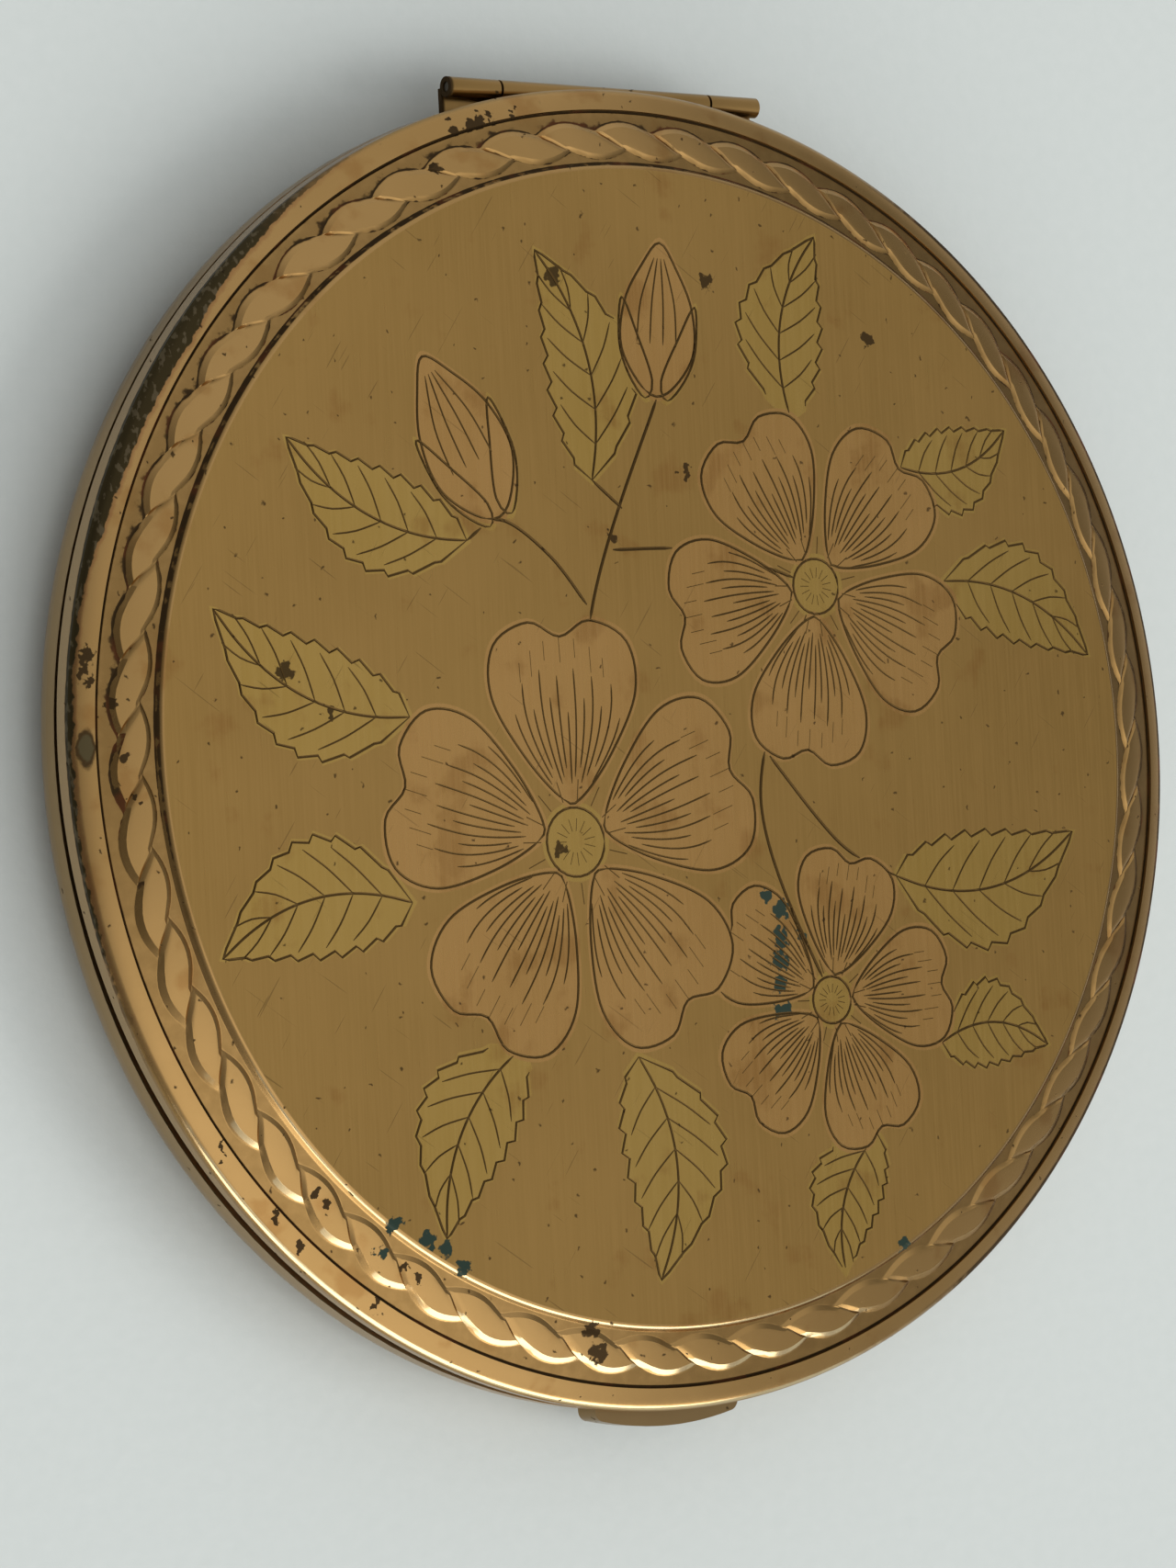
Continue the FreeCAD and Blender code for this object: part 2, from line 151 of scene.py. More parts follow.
wear = {
    # The darkest colour here also paints shade. The brown for recesses paints shade and soiling in hollows.
    # The pale gold after it paints highlights.
    "grimeAndShade": (0.024, 0.014, 0.006), "verdigris": (0.012, 0.034, 0.03), "stain": (0.25, 0.115, 0.03),
    "recess": (0.19, 0.11, 0.036), "paintedHighlight": (0.6, 0.45, 0.24), "rust": (0.075, 0.022, 0.008),
    "bare": (0.046, 0.034, 0.015), "copper": (0.22, 0.085, 0.035), "fleck": (0.16, 0.125, 0.075),
    "wall": (0.46, 0.315, 0.165),
    # How much each kind of mark hides of the metal
    "specks": 0.85, "scratched": 0.45, "cakedDirtAndShade": 0.94, "black": 0.93, "green": 0.96, "ring": 0.9,
    "end": 0.9,
    # Pits: cells to the metre, their lean with height, and their least radius and its spread
    "speckSize": 430.0, "speckLean": (0.8, 0.6), "speckRadius": 0.02, "speckSpread": 0.06,
    "scratchTurn": 0.6, "scratchEnds": (0.74, 0.78),
    "scratches": ((5200.0, 190.0, 300.0), (150.0, 4800.0, 300.0)),
    # Metres where the wear of the rim begins and is full, along X and along Y
    "wornSide": (-0.019, -0.031), "wornFront": (-0.023, -0.012),
    # Metres along Y where it grows wide at the back left and narrow again, and by how many millimetres
    "wideBack": (0.002, 0.026), "wideEnd": (0.043, 0.027), "wider": 0.95,
    # Marks on the lid: x, y and radius in millimetres
    "blackSpots": (
        (-8.1, 33.7, 0.75), (5.6, 33.9, 0.6), (-32.0, 5.3, 0.75), (-4.1, 14.9, 0.45), (2.7, 19.7, 0.45),
        (20.1, 30.0, 0.5), (-28.5, 2.4, 0.4), (-9.8, -7.5, 0.6), (-8.9, -41.8, 0.7), (-8.3, -43.3, 0.75),
        (-46.7, 5.4, 0.55), (-46.5, 6.4, 0.4), (-11.5, 45.0, 0.3), (-12.6, 44.7, 0.32), (-13.5, 44.6, 0.26),
        (-15.0, 44.2, 0.3), (-9.9, 45.3, 0.24), (-17.0, 41.2, 0.35), (-45.3, 3.2, 0.4), (-44.6, -0.6, 0.45),
        (-43.9, -3.4, 0.35), (-37.9, -27.6, 0.1), (-33.9, -32.2, 0.12), (-31.9, -34.4, 0.14),
        (-26.2, -38.9, 0.1), (-31.2, -30.7, 0.26), (-30.4, -31.5, 0.2), (-24.2, -36.3, 0.3),
        (-23.2, -37.0, 0.26),
    ),
    "oval": (-47.0, 0.1), "ovalRadii": (0.74, 0.53), "ovalTone": (0.05, 0.045, 0.024),
    "greenSpots": (
        (8.1, -11.2, 0.5), (9.3, -12.2, 0.75), (9.2, -14.3, 0.8), (8.9, -16.0, 0.85), (8.9, -17.7, 0.75),
        (9.0, -19.5, 0.7), (11.0, -14.2, 0.4), (-25.2, -33.4, 0.6), (-22.7, -34.6, 0.7), (-21.2, -35.4, 0.7),
        (-19.7, -36.6, 0.6), (-26.1, -35.2, 0.5), (19.0, -37.3, 0.5),
    ),
}


# 1 inside any of the marks that lie between two radii of the lid. The marks can be drawn out along Y.
def spotMask(place, spots, ends, longer=1.0, uneven=2.2):
    flat = scaled(place, (1.0, 1.0 / longer, 0.0))
    ragged = (cloud(place, 1500.0, 3.0) - 0.5) * (uneven * mm)
    found = None
    for x, y, radius in spots:
        if ends[0] <= hypot(x, y) < ends[1]:
            centre = (x * mm, y * mm / longer, 0.0)
            away = vectorMaths("DISTANCE", flat, centre, "Value")
            mark = eased(away + ragged, radius * mm, radius * mm * 0.75)
            found = mark if found is None else larger(found, mark)
    return found


# Small dark pits, a few to the centimetre. They lean with height, so that upright walls bear no lines.
def speckMask(place, share):
    below = component(place, "Z") - fieldZ * mm
    leanX, leanY = wear["speckLean"]
    lean = place.node("CombineXYZ", {}, {"X": below * leanX, "Y": below * leanY})
    wavy = place.node("TexNoise", {}, {"Vector": place, "Scale": 1700.0}, "Color")
    shift = place.node("VectorMath", {"operation": "SCALE"}, {0: wavy, "Scale": 0.8 * mm})
    moved = vectorMaths("ADD", vectorMaths("ADD", place, shift), lean)
    cells = {"Vector": moved, "Scale": wear["speckSize"]}
    flat = {"voronoi_dimensions": "2D"}
    near = place.node("TexVoronoi", flat, cells, "Distance")
    tint = place.node("TexVoronoi", flat, cells, "Color")
    chance = place.node("SeparateColor", {}, {"Color": tint}, "Red")
    least, spread = wear["speckRadius"], wear["speckSpread"]
    return eased(near, least + spread * chance, least) * eased(chance, 1.0 - share, 1.0 - share + 0.03)


# Short scratches across the brushing
def scratchMask(place):
    sockets = {"Vector": place, "Angle": wear["scratchTurn"]}
    turned = place.node("VectorRotate", {"rotation_type": "Z_AXIS"}, sockets)
    first, second = (cloud(scaled(turned, run), 1.0, 1.0) for run in wear["scratches"])
    return larger(eased(first, *wear["scratchEnds"]), eased(second, *wear["scratchEnds"]))


# Gilded brass. A look gives its colour, its second tone, how rough it is, and which marks, painted shade and
# painted highlights it bears.
def giltBrass(name, look):
    material, place = newMaterial(name)
    drift = eased(cloud(place, 55.0, 3.0), 0.3, 0.7)
    colour = blended(drift, look["colour"], look["tone"])
    roughness = look["roughness"] + (cloud(place, 500.0, 3.0) - 0.5) * 0.1
    height = cloud(place, 1100.0, 2.0) * 0.35
    grimeAndShade = speckMask(place, look["specks"]) * wear["specks"]
    shade = wear["grimeAndShade"]
    if "stained" in look:
        stain = eased(cloud(place, 230.0, 4.0), *look["stained"])
        colour = blended(stain * 0.45, colour, wear["stain"])
    if "brush" in look:
        hairline = cloud(scaled(place, look["brush"]), 1.0, 3.0)
        colour = blended(eased(hairline, 0.3, 0.75) * 0.35, colour, look["hairline"])
        roughness = roughness + (hairline - 0.5) * 0.12
        height = height + hairline * 0.2
        grimeAndShade = larger(grimeAndShade, scratchMask(place) * wear["scratched"])
    if "hollow" in look:
        # Painted shade and soiling darken the rope's and rim's hollows, grooves and feet; values below 0
        # give painted highlights
        hollow = place.node("Attribute", {"attribute_name": "hollow"}, out="Fac")
        uneven = cloud(place, 1150.0, 5.0)
        colour = blended(eased(hollow + uneven * 0.4, 0.35, 0.85) * 0.7, colour, wear["recess"])
        cakedDirtAndShade = eased(hollow * (0.45 + 1.1 * uneven), *look["hollow"])
        grimeAndShade = larger(grimeAndShade, cakedDirtAndShade * wear["cakedDirtAndShade"])
        highlight = eased(hollow + uneven * 0.7, 0.0, -0.55)      # painted highlight on edges and flanks at the front left
        colour = blended(highlight, colour, wear["paintedHighlight"])
        roughness = roughness - highlight * 0.08
        rusty = eased(cloud(place, 330.0), 0.5, 0.62) * cakedDirtAndShade * 0.8
        shade = blended(rusty, shade, wear["rust"])
    if "spots" in look:
        black = spotMask(place, wear["blackSpots"], look["spots"], look.get("longer", 1.0))
        grimeAndShade = larger(grimeAndShade, black * wear["black"])
    if "green" in look:
        green = spotMask(place, wear["greenSpots"], look["spots"])
        grimeAndShade = larger(grimeAndShade, green * wear["green"])
        shade = blended(green, shade, wear["verdigris"])
    if "worn" in look:
        marks = [[(*wear["oval"], radius)] for radius in wear["ovalRadii"]]
        ring, oval = (spotMask(place, mark, look["spots"], look["longer"], 0.4) for mark in marks)
        grimeAndShade = larger(grimeAndShade, ring * wear["ring"])
        shade = blended(oval, shade, wear["ovalTone"])
        colour, roughness = wornRim(place, colour, roughness)
    if "darkEnd" in look:
        dark = eased(component(place, "X"), (look["darkEnd"] + 0.35) * mm, (look["darkEnd"] + 0.1) * mm)
        grimeAndShade = larger(grimeAndShade, dark * wear["end"])
    finishMaterial(place, {
        "Base Color": blended(grimeAndShade, colour, shade),
        "Metallic": 1.0 - grimeAndShade * 0.85,
        "Roughness": roughness + grimeAndShade * 0.35,
        "IOR": 1.12,
        "Normal": bumped(height, 0.5, 0.02),
    })
    return material


# The rim's corner has lost its gilding on one side: copper at the edge of the loss, black within it
def wornRim(place, colour, roughness):
    flat = scaled(place, (1.0, 1.0, 0.0))
    radius = flat.node("VectorMath", {"operation": "LENGTH"}, {0: flat}, "Value")
    aside, ahead, level = (component(place, axis) for axis in "XYZ")
    ragged = (cloud(place, 1300.0, 4.0) - 0.5) * (0.5 * mm) + (cloud(place, 160.0) - 0.5) * (0.6 * mm)
    side = eased(aside + ragged * 12.0, *wear["wornSide"])
    side = side * eased(ahead + ragged * 9.0, *wear["wornFront"])
    wall = eased(level + ragged * 0.4, (rimEdgeZ - 0.75) * mm, (rimEdgeZ - 0.62) * mm)
    wide = eased(ahead, *wear["wideBack"]) * eased(ahead, *wear["wideEnd"])
    reach = radius + ragged + wide * (wear["wider"] * mm)
    loss = eased(reach, (caseRadius - 0.16) * mm, (caseRadius - 0.08) * mm) * wall * side
    blush = eased(reach, (caseRadius - 0.46) * mm, (caseRadius - 0.18) * mm) * wall * side
    fleck = eased(cloud(scaled(place, (1.0, 0.5, 1.0)), 2300.0, 3.0), 0.54, 0.62)
    colour = blended(wall, wear["wall"], colour)
    colour = blended(blush * 0.45, colour, wear["copper"])
    bare = blended(fleck * 0.5, wear["bare"], wear["fleck"])
    return blended(loss, colour, bare), roughness + loss * 0.2


lidLow, lidHigh = (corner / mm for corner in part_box("lid_shell"))
hingeLow, hingeHigh = (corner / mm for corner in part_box("base_hinge_leaf"))
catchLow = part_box("catch_tab")[0] / mm

# The lid, in millimetres, with the rope border drawn finer than its solid
lid = {
    "sheet": 0.5, "rimWidth": 1.75, "bandWidth": 3.95, "shoulderRun": 0.2, "shoulderWall": 0.5,
    "shoulderDrop": 0.45, "bandFall": 1.1, "rimStep": 0.15, "rimDrop": 0.55, "rimEnd": 0.47,
    "rimBulge": 0.03, "rimCornerDrop": 0.35,
    # Runs and falls, from the field's edge over the shoulder, and from the rim's top over its corner
    "shoulderRound": ((0.08, 0.01), (0.06, 0.025), (0.08, 0.052), (0.08, 0.068), (0.07, 0.075)),
    "rimRound": ((0.06, 0.032), (0.1, 0.067), (0.1, 0.084), (0.1, 0.104), (0.06, 0.096)),
    "grooveHalf": 0.125, "rimSteps": 6, "rimInset": 0.15, "fieldInset": 0.3,
    # Rings beside the rope: out from the band's inner edge or the rim's root, up from the band, and how much
    # soiling and painted shade darken them
    "hollowRings": ((-0.04, 0.07, 0.8), (0.04, -0.01, 1.1)),
    "grooveRings": ((-0.125, 0.03, 0.55), (-0.04, -0.12, 1.1), (0.04, -0.12, 1.1), (0.095, 0.09, 0.5)),
    "hingeRoom": 0.2, "wallRing": 0.1, "edgeRound": 0.08, "innerRound": 0.05, "sharp": 16,
    # The lower edge is raised at the front left: how much, its turn, how narrowly, and up to which height
    "frontLift": 0.85, "liftTurn": 0.4, "liftPower": 6, "liftBelow": 0.15,
    "lobes": 55, "lobeTurn": -1.0, "ropeInset": 1.73, "ropeHalf": 1.47, "ropeHeight": 0.22, "crown": 0.03,
    "clockBevel": 0.32, "counterBevel": 0.17, "innerBevel": 0.4, "outerBevel": 0.44, "footLine": 0.1,
    "bandStart": 0.1, "grooveRoom": 0.06, "leanSlope": 0.4, "leanCurve": 0.3, "leanEnd": 0.6,
    # A lobe's sides: their slant, and the share of its height that they leave at their foot
    "sideSlant": 0.58, "sideFloor": (0.22, 0.5, 0.45),
    # A lobe's long edges: where each stands out most, half its length in lobes, and its fall at the ends
    "bow": (0.2525, 0.4875, 0.48),
    # The search for those edges: its start, step and number of steps
    "search": (1.05, 0.005, 420),
    "lobeShares": (-0.5, -0.465, -0.43, -0.405, -0.385, -0.3, -0.2, -0.1,
                   0.0, 0.1, 0.2, 0.3, 0.37, 0.41, 0.44, 0.47),
    # Rows of points from the shoulder to the groove, between a lobe's feet and the edges of its top
    "ropeSteps": (1, 1, 2, 8, 1, 3, 1, 1),
    # The runs of those rows: a lobe's top, its crest, outer flank and outer foot, and the band beside it
    "top": 3, "crest": 4, "flank": 5, "foot": 6, "outside": 7, "band": (0, 1, 7, 8),
    "ropeDirtAndShade": (0.55, 0.4, 0.75, 0.1, 0.1, 0.1, 1.15, 0.55, 0.5), "topEdge": 0.05,
    # Soiling and painted shade on one side of the lid: amount, direction, and the cosines where it begins
    # and is full
    "backDirtAndShade": (0.7, 2.3, 0.2, 0.75), "shoulderDirtAndShade": (0.85, 2.4, 0.2, 0.75),
    "cornerDirtAndShade": (1.0, 0.0, 0.35, 0.6),
    # Degrees round the lid where edges (-1) and flanks (-2) begin to take a painted highlight and take it
    # fully, and the end
    "highlightEdge": (200, 222), "highlightFlank": (232, 246), "highlightEnd": (282, 300),
    # Soiling and painted shade are weaker at the front left, where the light falls: by which share, turned
    # how far, and where it begins and is full
    "frontLit": 0.75, "frontLitTurn": 0.35, "frontLitEnds": (0.25, 0.7),
    # Crust outside the lobes on the left: cosines, its middle amount, and its change from lobe to lobe
    "crustEnds": (0.9, 0.99), "crust": 0.62, "crustChange": 0.14, "crustStep": 2.4, "bandDirt": 0.5,
}
caseRadius = lidHigh.x
fieldZ = lidHigh.z
lidBottomZ = lidLow.z
wallInner = caseRadius - lid["sheet"]
rimRoot = caseRadius - lid["rimWidth"]
bandInner = rimRoot - lid["bandWidth"]
fieldRadius = bandInner - lid["shoulderRun"]
bandTopZ = fieldZ - lid["shoulderDrop"]
bandLowZ = bandTopZ - lid["bandFall"]
rimTopZ = bandLowZ + lid["rimStep"]
rimEdgeZ = rimTopZ - lid["rimDrop"]
ropeRadius = bandInner + lid["ropeInset"]
notchHalf = hingeHigh.x + lid["hingeRoom"]
notchZ = hingeHigh.z + lid["hingeRoom"]
lobePitch = fullTurn / lid["lobes"]

fieldBrass = giltBrass("field_brass", {
    "colour": (0.36, 0.214, 0.066), "tone": (0.325, 0.192, 0.057), "roughness": 0.31, "specks": 0.45,
    "brush": (6500.0, 130.0, 400.0), "hairline": (0.41, 0.246, 0.08), "spots": (0.0, 42.2), "green": True,
    "stained": (0.6, 0.72),
})
roseLook = {
    "colour": (0.45, 0.256, 0.086), "tone": (0.405, 0.226, 0.072), "roughness": 0.27, "specks": 0.25,
    "brush": (4200.0, 150.0, 400.0), "hairline": (0.47, 0.272, 0.098), "spots": (0.0, 42.2), "green": True,
    "stained": (0.54, 0.66),
}
roseGilt = giltBrass("rose_gilt", roseLook)
greenGilt = giltBrass("green_gilt", {
    **roseLook, "colour": (0.42, 0.266, 0.074), "tone": (0.385, 0.24, 0.062), "roughness": 0.24,
    "hairline": (0.46, 0.3, 0.092), "stained": (0.58, 0.7),
})
engravedLine = giltBrass("engraved_line", {
    "colour": (0.12, 0.071, 0.024), "tone": (0.085, 0.05, 0.017), "roughness": 0.5, "specks": 0.3,
})
borderLook = {
    "colour": (0.385, 0.232, 0.086), "tone": (0.345, 0.206, 0.073), "roughness": 0.24, "specks": 0.5,
}
ropeGilt = giltBrass("rope_gilt", {
    **borderLook, "stained": (0.55, 0.68), "hollow": (0.66, 0.8), "spots": (41.5, 46.2), "green": True,
})
rimGilt = giltBrass("rim_gilt", {
    **borderLook, "stained": (0.56, 0.68), "hollow": (0.5, 0.9), "spots": (46.0, 49.0), "longer": 2.0,
    "worn": True,
})
innerGilt = giltBrass("inner_gilt", {
    "colour": (0.5, 0.32, 0.12), "tone": (0.46, 0.29, 0.1), "roughness": 0.22, "specks": 0.05,
})
baseGilt = giltBrass("base_gilt", {
    "colour": (0.42, 0.285, 0.14), "tone": (0.35, 0.235, 0.11), "roughness": 0.3, "specks": 0.25,
})
catchGilt = giltBrass("catch_gilt", {
    "colour": (0.28, 0.185, 0.085), "tone": (0.22, 0.145, 0.065), "roughness": 0.32, "specks": 0.4,
    "darkEnd": catchLow.x,
})
hingeGilt = giltBrass("hinge_gilt", {
    "colour": (0.33, 0.2, 0.072), "tone": (0.25, 0.15, 0.05), "roughness": 0.3, "specks": 0.5,
    "darkEnd": hingeLow.x,
})
lidMaterials = [fieldBrass, roseGilt, greenGilt, engravedLine, ropeGilt, rimGilt, innerGilt]


print("stage: engraved spray")

# A spray of wild roses for the field, in millimetres from its centre, the hinge towards +y.
# What comes first in a list lies on top of what comes later.
spray = {
    "outline": 0.2, "vein": 0.14, "stem": 0.26, "depth": 0.06, "halo": 0.4, "spacing": 0.55,
    # A line's ends: their share of its width, and how far it takes to widen by all of it
    "endWidth": 0.4, "widening": 0.9,
    # Centre, radius, and turn in degrees
    "blossoms": (((-8.5, -7.0), 15.5, 20.0), ((14.0, 11.5), 12.8, 47.0), ((13.5, -19.0), 10.8, 5.0)),
    # Base, tip and half width
    "buds": (((-13.5, 16.0), (-19.5, 27.5), 3.6), ((0.5, 25.0), (1.5, 36.5), 3.3)),
    # Base, tip, half width and bend
    "leaves": (
        ((-22.0, 2.0), (-37.5, 9.5), 4.2, 2.4), ((-22.5, -11.0), (-38.0, -14.5), 4.4, -2.2),
        ((-14.0, -21.5), (-21.0, -34.5), 4.2, -2.0), ((-4.0, -22.5), (-3.0, -38.5), 4.6, 2.4),
        ((23.5, -22.5), (33.5, -23.0), 3.4, 1.6), ((17.0, -29.0), (13.5, -39.0), 3.4, -1.6),
        ((20.0, -10.0), (37.0, -7.0), 4.6, -2.6), ((26.0, 12.0), (39.5, 6.5), 3.9, 1.8),
        ((22.5, 20.5), (32.5, 23.5), 3.4, -1.6), ((12.5, 24.0), (15.5, 37.5), 4.0, 2.0),
        ((-5.5, 19.0), (-9.5, 35.5), 4.0, -2.2), ((-16.5, 14.5), (-31.0, 21.5), 3.8, 2.0),
    ),
    "stems": (
        ((13.5, -19.0), (8.0, -4.0), (14.0, 11.5)),
        ((-8.5, -7.0), (-6.0, 10.0), (0.5, 25.0)),
        ((-6.5, 10.0), (-9.5, 13.5), (-13.5, 16.0), (-16.5, 14.5)),
        ((-3.0, 17.0), (-5.5, 19.0)),
        ((-4.0, 14.0), (5.0, 14.0), (14.0, 11.5)),
        ((9.0, -1.0), (15.0, -7.5), (20.0, -10.0)),
    ),
    # Half of a petal: along its length and across it, as shares of the blossom's radius
    "petal": ((0.2, 0.05), (0.4, 0.24), (0.68, 0.4), (0.92, 0.37), (1.02, 0.17), (0.95, 0.0)),
    "petals": 5,
    "petalVeins": ((-0.86, 0.56), (-0.7, 0.72), (-0.55, 0.62), (-0.42, 0.76), (-0.29, 0.66), (-0.16, 0.8),
                   (-0.04, 0.6), (0.09, 0.77), (0.21, 0.67), (0.34, 0.8), (0.47, 0.62), (0.6, 0.74),
                   (0.76, 0.6)),
    "veinStarts": (0.27, 0.34, 0.3), "edgeVeins": (-0.6, -0.42, -0.2, 0.02, 0.25, 0.45, 0.62),
    "heart": 0.16, "heartSteps": 26, "stamens": 15, "stamenEnds": (0.19, 0.29), "seedEnds": (0.05, 0.11),
    "leafTeeth": 9, "leafVeins": 7, "margin": 1.0,
}

strokes = []
areas = []
covers = []


# Points along a smooth curve through the given ones
def smoothed(points, closed=False):
    corners = [Vector(p) for p in points]
    count = len(corners)
    made = []
    for i in range(count if closed else count - 1):
        near = range(i - 1, i + 3)
        a, b, c, d = (corners[k % count if closed else min(max(k, 0), count - 1)] for k in near)
        steps = max(1, round((c - b).length / spray["spacing"]))
        for step in range(steps):
            t = step / steps
            made.append(0.5 * (2 * b + (c - a) * t + (2 * a - 5 * b + 4 * c - d) * t * t
                               + (3 * b - a - 3 * c + d) * t ** 3))
    if not closed:
        made.append(corners[-1])
    return made


def isInside(point, polygon):
    inside = False
    for i, p in enumerate(polygon):
        q = polygon[i - 1]
        if (p.y > point.y) != (q.y > point.y):
            if point.x < p.x + (q.x - p.x) * (point.y - p.y) / (q.y - p.y):
                inside = not inside
    return inside


def isCovered(point):
    return any((point - centre).length < reach and isInside(point, polygon)
               for polygon, centre, reach in covers)


# A cut line, left out where a motif above covers it and where the field ends
def engrave(points, kind="vein"):
    limit = fieldRadius - spray["margin"]
    for isHidden, group in groupby(points, lambda point: isCovered(point) or point.length > limit):
        run = list(group)
        if not isHidden and len(run) > 1:
            strokes.append((run, spray[kind]))


# A motif's outline, its tinted ground a little wider, and its cover over what is drawn later
def addMotif(outlinePoints, tint):
    centre = sum(outlinePoints, Vector((0, 0))) / len(outlinePoints)
    reach = max((p - centre).length for p in outlinePoints)
    engrave(outlinePoints + outlinePoints[:1], "outline")
    areas.append(([centre + (p - centre) * (1 + spray["halo"] / reach) for p in outlinePoints], tint))
    return outlinePoints, centre, reach


# How far a petal's outer veins stand from its middle, at a reach along it
def petalWidth(reach):
    return 0.07 + 0.31 * sin(pi / 2 * min((reach - 0.2) / 0.5, 1.0))


def ray(angle):
    return Vector((cos(angle), sin(angle)))


def addBlossom(centre, size, turned):
    centre = Vector(centre)
    half = spray["petal"]
    made = []
    for petal in range(spray["petals"]):
        along = ray(radians(turned + 360 / spray["petals"] * petal))
        aside = Vector((-along.y, along.x))

        def spot(reach, side):
            return centre + along * (reach * size) + aside * (side * size)

        rim = [spot(reach, side) for reach, side in half]
        rim += [spot(reach, -side) for reach, side in reversed(half[:-1])]
        made.append(addMotif(smoothed(rim, True), "rose"))
        for k, (side, end) in enumerate(spray["petalVeins"]):
            begin = spray["veinStarts"][k % len(spray["veinStarts"])]
            reaches = [begin + (end - begin) * part / 5 for part in range(6)]
            engrave(smoothed([spot(reach, side * petalWidth(reach)) for reach in reaches]))
        for k, side in enumerate(spray["edgeVeins"]):
            ends = (0.95 - 0.3 * side * side, 0.86 - 0.3 * side * side - 0.03 * (k % 2))
            engrave([spot(reach, side * 0.38) for reach in ends])
    steps = spray["heartSteps"]
    ring = [centre + ray(fullTurn * k / steps) * size * spray["heart"] for k in range(steps)]
    made.append(addMotif(ring, "green"))
    for k in range(spray["stamens"]):
        along = ray(fullTurn * (k + 0.5) / spray["stamens"])
        engrave([centre + along * (size * end) for end in spray["stamenEnds"]], "outline")
        engrave([centre + along * (size * end) for end in spray["seedEnds"]])
    covers.extend(made)


def addLeaf(base, tip, width, bend):
    base, tip = Vector(base), Vector(tip)
    run = tip - base
    aside = Vector((-run.y, run.x)).normalized()

    def rib(t):
        return base + run * t + aside * (bend * 4 * t * (1 - t))

    def half(t):
        return width * sin(pi * t ** 0.8) ** 0.9

    teeth = spray["leafTeeth"]
    edge = []
    for side in (1, -1):
        marks = [(k + part) / teeth for k in range(teeth) for part in (0.0, 0.75)]
        shape = [rib(t) + aside * (side * half(t) * (1.0 if i % 2 else 0.88))
                 for i, t in enumerate(marks)]
        edge += shape if side > 0 else [tip] + shape[:0:-1]
    made = addMotif(edge, "green")
    engrave(smoothed([rib(k / 8) for k in range(9)]), "outline")
    for k in range(1, spray["leafVeins"] - 1):
        t = k / spray["leafVeins"]
        for side in (1, -1):
            start = rib(t)
            end = rib(min(t + 0.2, 0.97)) + aside * (side * half(min(t + 0.17, 0.97)) * 0.8)
            engrave(smoothed([start, (start + end) / 2 + aside * (side * 0.25), end]))
    covers.append(made)


def addBud(base, tip, width):
    base, tip = Vector(base), Vector(tip)
    run = tip - base
    aside = Vector((-run.y, run.x)).normalized() * width
    sides = ((0.05, 0.3), (0.3, 0.95), (0.6, 0.9), (0.85, 0.45))
    cup = ((0.0, 0.3), (0.14, 0.75), (0.34, 1.02), (0.62, 0.98), (0.4, 0.55), (0.12, 0.12))

    def spot(t, w):
        return base + run * t + aside * w

    shape = [spot(t, w) for t, w in sides] + [tip] + [spot(t, -w) for t, w in reversed(sides)]
    made = [addMotif(smoothed(shape, True), "rose")]
    for bow in (-0.5, -0.15, 0.2, 0.55):
        vein = [spot(0.35, bow), spot(0.62, bow * 0.85), spot(0.9, bow * 0.25)]
        engrave(smoothed(vein))
    for side in (1, -1):
        sepal = [spot(t, side * w) for t, w in cup]
        made.append(addMotif(smoothed(sepal, True), "green"))
    covers.extend(made)


for blossom in spray["blossoms"]:
    addBlossom(*blossom)
for bud in spray["buds"]:
    addBud(*bud)
for leaf in spray["leaves"]:
    addLeaf(*leaf)
for stem in spray["stems"]:
    engrave(smoothed(stem), "stem")
print("  strokes:", len(strokes), "areas:", len(areas))


print("stage: lid")


def bandZ(radius):
    return bandTopZ - lid["bandFall"] * (radius - bandInner) / (rimRoot - bandInner)


# How far round, in lobes, the grooves of the rope lean at a place across the band
def lean(v):
    held = min(max(v, -lid["leanEnd"]), lid["leanEnd"])
    return lid["leanSlope"] * held + lid["leanCurve"] * held ** 3


# Share of a lobe's height that its sides leave, at t along the rope (-0.5 to 0.5) and v across (-1 to 1)
def sideShare(t, v):
    reach = (0.5 - abs(t)) * lobePitch * ropeRadius * lid["sideSlant"]
    bevel = lid["clockBevel"] if t < 0 else lid["counterBevel"]
    least, rise, turn = lid["sideFloor"]
    floor = least + rise * min(max(turn - v, 0.0), 1.0)
    return floor + (1 - floor) * min(reach / bevel, 1.0)


# How far inside a lobe's inner (-1) or outer (1) edge a place is
def edgeReach(t, v, edge):
    place, half, fall = lid["bow"]
    along = min(abs(t + lean(v) - edge * place) / half, 1.0)
    return (1 - fall * along ** 2 - edge * v) * lid["ropeHalf"]


# Share of a lobe's height that its flank reaches above its inner or outer foot
def flankShare(t, v, edge):
    bevel = lid["innerBevel"] if edge < 0 else lid["outerBevel"]
    return min(max(edgeReach(t, v, edge) / bevel, 0.0), 1.0)


def lobeShare(t, v):
    return min(sideShare(t, v), flankShare(t, v, -1), flankShare(t, v, 1))


# Where a lobe's foot is and where its top begins, from the inner (-1) or outer (1) side
def lobeEdges(t, edge):
    foot = None
    start, step, steps = lid["search"]
    for k in range(steps):
        v = edge * (start - k * step)
        if foot is None and edgeReach(t, v, edge) >= 0:
            foot = v
        if flankShare(t, v, edge) >= sideShare(t, v):
            break
    return foot, v
